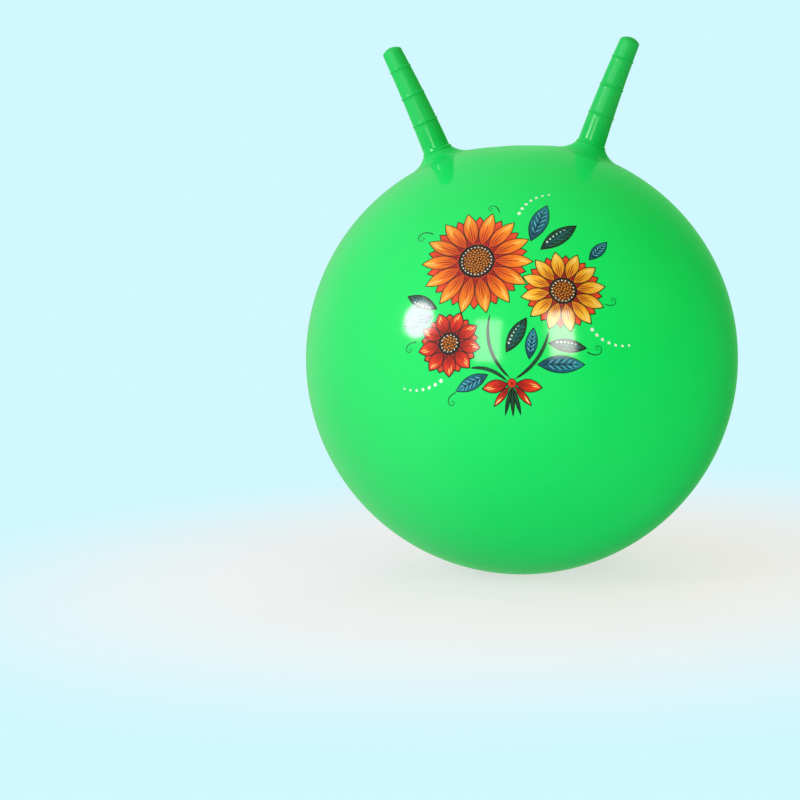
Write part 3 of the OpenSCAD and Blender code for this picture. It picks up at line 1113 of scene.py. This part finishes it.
petals = [petal_places(flower) for flower in flowers]
back_petals = [place for flower in flowers for place in petal_places(flower, back_share, half_step)]
ruffs = [(x, y, heart_r + ruff_share * (r - heart_r)) for x, y, r, heart_r, first, count in flowers]
press_on(
    lay("back_outlines", blade, grown(back_petals, outline_w), back_outline_height, outline_ink),
    "dark_green_ink",
)
press_on(
    join(
        "back_petals",
        lay("back_petals", blade, back_petals, back_height, red_ink, seed=3),
        lay("ruffs", heart_disc, disc_places(ruffs), back_height + layer_step, deep_red_ink),
    ),
    "red_ink",
)
bow_places = knot_places(bow)
stem_end_places = knot_places(stem_ends)
dark_places = leaf_places(dark_leaves)
teal_places = leaf_places(teal_leaves)
hearts = [(x, y, heart_r) for x, y, r, heart_r, first, count in flowers]
all_blades = sum(petals, []) + bow_places + stem_end_places + dark_places + teal_places
press_on(
    join(
        "outlines",
        lay("outlines", blade, grown(all_blades, outline_w), outline_height, outline_ink),
        lay("heart_rims", heart_disc, disc_places(hearts, rim_growth * outline_w), outline_height,
            outline_ink),
        lay("knot_rim", dot_disc, disc_places([knot], outline_w), outline_height, outline_ink),
    ),
    "dark_green_ink",
)
petal_inks = (("orange", orange_ink), ("yellow", yellow_ink), ("red", red_ink))
for seed, ((colour, petal_ink), places) in enumerate(zip(petal_inks, petals)):
    press_on(
        lay(colour + "_petals", blade, places, fill_height, petal_ink, seed),
        colour + "_ink",
        f"print_{colour}_petals",
    )
press_on(
    join(
        "bow",
        lay("bow", blade, bow_places, fill_height, red_ink, seed=7),
        lay("knot", dot_disc, disc_places([knot]), fill_height, red_ink),
    ),
    "red_ink",
    "print_red_bow",
)
press_on(
    lay("hearts", heart_disc, disc_places(hearts), fill_height, brown_ink),
    "brown_ink",
    "print_brown_hearts",
)
stems = []
for x, y, bend in stem_tips:
    way = (Vector((x, y)) - Vector(knot[:2])) * print_h
    turn = math.atan2(way.y, way.x)
    edge = (knot[2] + knot_gap) * print_h
    length = way.length - edge
    foot = (knot[0] * print_h + edge * math.cos(turn), knot[1] * print_h + edge * math.sin(turn))
    bent = bend * print_h / length
    half_w = stem_w * print_h / 2 / length
    stem = long_sheet(
        "stem",
        lambda share: (share, bent * arch(share)),
        lambda share: half_w * math.sqrt(arch(share)),
    )
    place = (*foot, turn, length, length)
    stems.append(lay("stem", stem, [place], fill_height, dark_green_ink, seed=5))
stems.append(lay("stem_ends", blade, stem_end_places, fill_height, dark_green_ink, seed=6))
press_on(join("stems", *stems), "dark_green_ink", "print_dark_stems")
press_on(
    lay("dark_leaves", blade, dark_places, fill_height, dark_green_ink, seed=8),
    "dark_green_ink",
    "print_dark_leaves",
)
press_on(
    lay("teal_leaves", blade, teal_places, fill_height, teal_ink, seed=9),
    "teal_ink",
    "print_teal_leaves",
)
spray_places = []
for x, y, turn, bend in sprays:
    for i in range(spray_dots):
        if i:
            x += spray_step * math.cos(math.radians(turn + i * bend))
            y += spray_step * math.sin(math.radians(turn + i * bend))
        spray_places.append((x, y, dot_r * (1 - i / (2 * spray_dots))))
press_on(
    lay("dots", dot_disc, disc_places(spray_places), fill_height, pale_ink),
    "pale_ink",
    "print_white_dots",
)

# Fine work over the fills: strokes and lights on the petals and the bow, veins and dots on the
# leaves, seeds in the hearts, and thin tendrils round the bunch. A row of strokes has its
# start, end and width, and may have a place across and a lean.
stroke_rows = (
    (0.06, 0.66, 1.5 * mm),
    (0.1, 0.5, 1.1 * mm, 0.45, 0.05),
    (0.1, 0.5, 1.1 * mm, -0.45, -0.05),
)
light_rows = ((0.62, 0.93, 1.3 * mm), (0.5, 0.84, 1.0 * mm, 0.4, -0.1))
teal_midrib = (0.02, 0.97, 1.6 * mm)
dark_midrib = (0.03, 0.95, 1.4 * mm)
vein_w = 0.9 * mm
sky_w = 1.2 * mm
sky_shift = 0.5
sky_reach = 0.7
leaf_dot_r = 1.5 * mm
heart_rings = (
    (big_flower, 0.9, 26, 1.0 * mm),
    (middle_flower, 0.88, 19, 0.95 * mm),
    (small_flower, 0.87, 14, 0.9 * mm),
)

# Across, up, turn and size.
tendrils = (
    (-0.335, 0.335, 150, 0.15),
    (-0.03, 0.42, 105, 0.12),
    (0.355, -0.25, -25, 0.14),
    (0.44, -0.03, -12, 0.11),
    (-0.41, -0.18, 175, 0.12),
    (-0.235, -0.415, 200, 0.12),
)
tendril_steps = 30
tendril_turn = math.radians(520)
tendril_ease = 1.6
tendril_len = 1.6
tendril_taper = 0.75
tendril_w_share = 0.03
tendril_foot = 1.2

warm_places = sum(petals, []) + bow_places
petal_strokes = [mark for row in stroke_rows for mark in strokes(warm_places, *row)]
press_on(lay("petal_strokes", stroke, petal_strokes, vein_height, deep_red_ink, seed=11), "red_ink")
petal_lights = [mark for row in light_rows for mark in strokes(warm_places, *row)]
press_on(lay("petal_lights", stroke, petal_lights, light_height, straw_ink, seed=12), "yellow_ink")
dark_veins = strokes(teal_places, *teal_midrib) + side_veins(teal_places, vein_w)
press_on(lay("dark_veins", stroke, dark_veins, vein_height, outline_ink, seed=13), "dark_green_ink")
sky_strokes = side_veins(teal_places, sky_w, sky_shift, sky_reach)
press_on(lay("sky_strokes", stroke, sky_strokes, light_height, sky_ink, seed=14), "teal_ink")
green_veins = strokes(dark_places, *dark_midrib) + side_veins(dark_places, vein_w)
press_on(lay("green_veins", stroke, green_veins, vein_height, teal_ink, seed=15), "teal_ink")
seeds = [place for flower in flowers for place in seed_places(flower)]
press_on(lay("seeds", seed_disc, seeds, light_height, orange_ink, seed=16), "orange_ink")
fine_dots = leaf_dots(dark_places, leaf_dot_r)
fine_dots += [place for heart_ring in heart_rings for place in ring_places(*heart_ring)]
press_on(lay("fine_dots", seed_disc, fine_dots, dot_height, pale_ink, seed=17), "pale_ink")

curl = [Vector((0, 0))]
for i in range(tendril_steps):
    heading = tendril_turn * (i / tendril_steps) ** tendril_ease
    step_len = tendril_len * (1 - tendril_taper * i / tendril_steps) / tendril_steps
    curl.append(curl[-1] + step_len * Vector((math.cos(heading), math.sin(heading))))
tendril = long_sheet(
    "tendril",
    lambda share: curl[round(share * tendril_steps)],
    lambda share: tendril_w_share / 2 * (tendril_foot - share),
    steps=tendril_steps,
    lanes=2,
)
tendril_places = [blade_place(x, y, turn, size, size) for x, y, turn, size in tendrils]
curls = lay("tendrils", tendril, tendril_places, fill_height, dark_green_ink, seed=18)
press_on(curls, "dark_green_ink")

# The studio: a pale backdrop, a round softbox on the left, a square one on the right, a hazy
# one between them, a light from behind, and a plain pale floor that fades into the backdrop.
# A flag keeps the square softbox off the horns, so that one soft line of light runs up each.
white = (1, 1, 1)
backdrop = (0.638, 0.939, 1.0)
round_way = Vector((-0.72, -0.59, 0.38))
square_way = Vector((0.39, -0.88, 0.29))
square_colour = (1, 1, 0.92)
hazy_way = Vector((-0.21, -0.94, 0.26))
back_way = Vector((0.2, 0.85, 0.45))
lamp_distance = 2.3
floor_r = 3.0
floor_sides = 128
floor_colour = (0.89, 0.84, 0.89)
floor_roughness = 0.6
floor_tone = (0.91, 0.89, 0.91)
floor_evenness = 0.69
floor_fade = (0.3, 1.1)

# The air shines softly too: white from the left in the gloss, green from behind at the ball's
# edge, and from above on everything, cool on the left and warm on the right. Each glow has the
# way that it comes from, how squarely that is faced where it starts and ends, and its strengths.
gloss_glow = ((-0.95, 0, 0.3), -0.6, 1.1, 0.025, 0.47)
edge_behind = ((-0.3, 0.92, 0.25), 0.45, 0.98)
edge_colour = (0.045, 0.42, 0.07)
fill_glow = ((-0.4, 0.05, 0.85), -0.9, 0.9, 0.24, 0.72)
warm_side = ((1, 0, 0), -0.6, 0.8)
cool_fill = (1, 1, 1.2)
warm_fill = (1, 1, 0.25)


def softbox(name, way, width, height, watts, round_shape=False, shines=True, colour=white):
    """A lamp that faces the ball, and may shine in its gloss."""
    lamp = bpy.data.lights.new(name, "AREA")
    lamp.color = colour
    lamp.shape = "ELLIPSE" if round_shape else "RECTANGLE"
    lamp.size = width
    lamp.size_y = height
    lamp.energy = watts
    stand = link(bpy.data.objects.new(name, lamp))
    stand.location = ball_middle + way.normalized() * lamp_distance
    stand.rotation_mode = "QUATERNION"
    stand.rotation_quaternion = (-way).to_track_quat("-Z", "Y")
    stand.visible_camera = False
    stand.visible_glossy = shines
    return stand


softbox("round_softbox", round_way, width=0.64, height=0.64, watts=15, round_shape=True)
square = softbox("square_softbox", square_way, width=0.48, height=0.84, watts=12.3,
                 colour=square_colour)
softbox("hazy_softbox", hazy_way, width=0.5, height=0.8, watts=6)
softbox("back_light", back_way, width=1.2, height=1.2, watts=12, shines=False)

flag = bpy.data.collections.new("flag")
for side in root_ways:
    flag.objects.link(bpy.data.objects[side + "_grip"])
for shaded in flag.collection_objects:
    shaded.light_linking.link_state = "EXCLUDE"
square.light_linking.receiver_collection = flag


def glow(way, *zone):
    """How strongly the air shines from each side."""
    return ramp(air, vector_calc(air, "DOT_PRODUCT", way_in, way), *zone)


def shining(colour, strength):
    return add(air, "ShaderNodeBackground", {"Color": colour, "Strength": strength}).outputs[0]


def either(tree, share, first, second):
    """The mix of two shaders."""
    return add(tree, "ShaderNodeMixShader", {0: share, 1: first, 2: second}).outputs[0]


world = bpy.data.worlds.new("studio")
bpy.context.scene.world = world
world.use_nodes = True
air = world.node_tree
air.nodes.clear()
rays = add(air, "ShaderNodeLightPath").outputs
seen = calc(air, "MAXIMUM", rays["Is Camera Ray"], rays["Is Transmission Ray"])
way_in = add(air, "ShaderNodeTexCoord").outputs["Generated"]
fill = shining(mixed(air, glow(*warm_side), cool_fill, warm_fill), glow(*fill_glow))
gloss = shining((*white, 1), glow(*gloss_glow))
edge = shining((*edge_colour, 1), glow(*edge_behind))
mirrored = add(air, "ShaderNodeAddShader", {0: gloss, 1: edge}).outputs[0]
lit_air = either(air, rays["Is Glossy Ray"], fill, mirrored)
whole = either(air, seen, lit_air, shining((*backdrop, 1), 1.0))
add(air, "ShaderNodeOutputWorld", {"Surface": whole})

floor_mesh = bpy.data.meshes.new("floor")
disc = bmesh.new()
bmesh.ops.create_circle(disc, cap_ends=True, segments=floor_sides, radius=floor_r)
disc.to_mesh(floor_mesh)
disc.free()
floor = link(bpy.data.objects.new("floor", floor_mesh))
floor_material, tree, surface = new_material("floor", 0)
surface.inputs["Base Color"].default_value = (*floor_colour, 1)
surface.inputs["Roughness"].default_value = floor_roughness
place = add(tree, "ShaderNodeTexCoord").outputs["Object"]
from_ball = vector_calc(tree, "LENGTH", place)
rays = add(tree, "ShaderNodeLightPath").outputs
even = add(tree, "ShaderNodeEmission", {"Color": (*floor_tone, 1), "Strength": 1.0})
lit = either(tree, floor_evenness, surface.outputs[0], even.outputs[0])
far_off = add(tree, "ShaderNodeEmission", {"Color": (*backdrop, 1), "Strength": 1.0})
far_share = calc(tree, "MULTIPLY", ramp(tree, from_ball, *floor_fade), rays["Is Camera Ray"])
faded = either(tree, far_share, lit, far_off.outputs[0])
clear = add(tree, "ShaderNodeBsdfTransparent")
whole = either(tree, rays["Is Glossy Ray"], faded, clear.outputs[0])
tree.links.new(whole, tree.nodes["Material Output"].inputs["Surface"])
floor_mesh.materials.append(floor_material)

bpy.context.scene.view_settings.view_transform = "Standard"
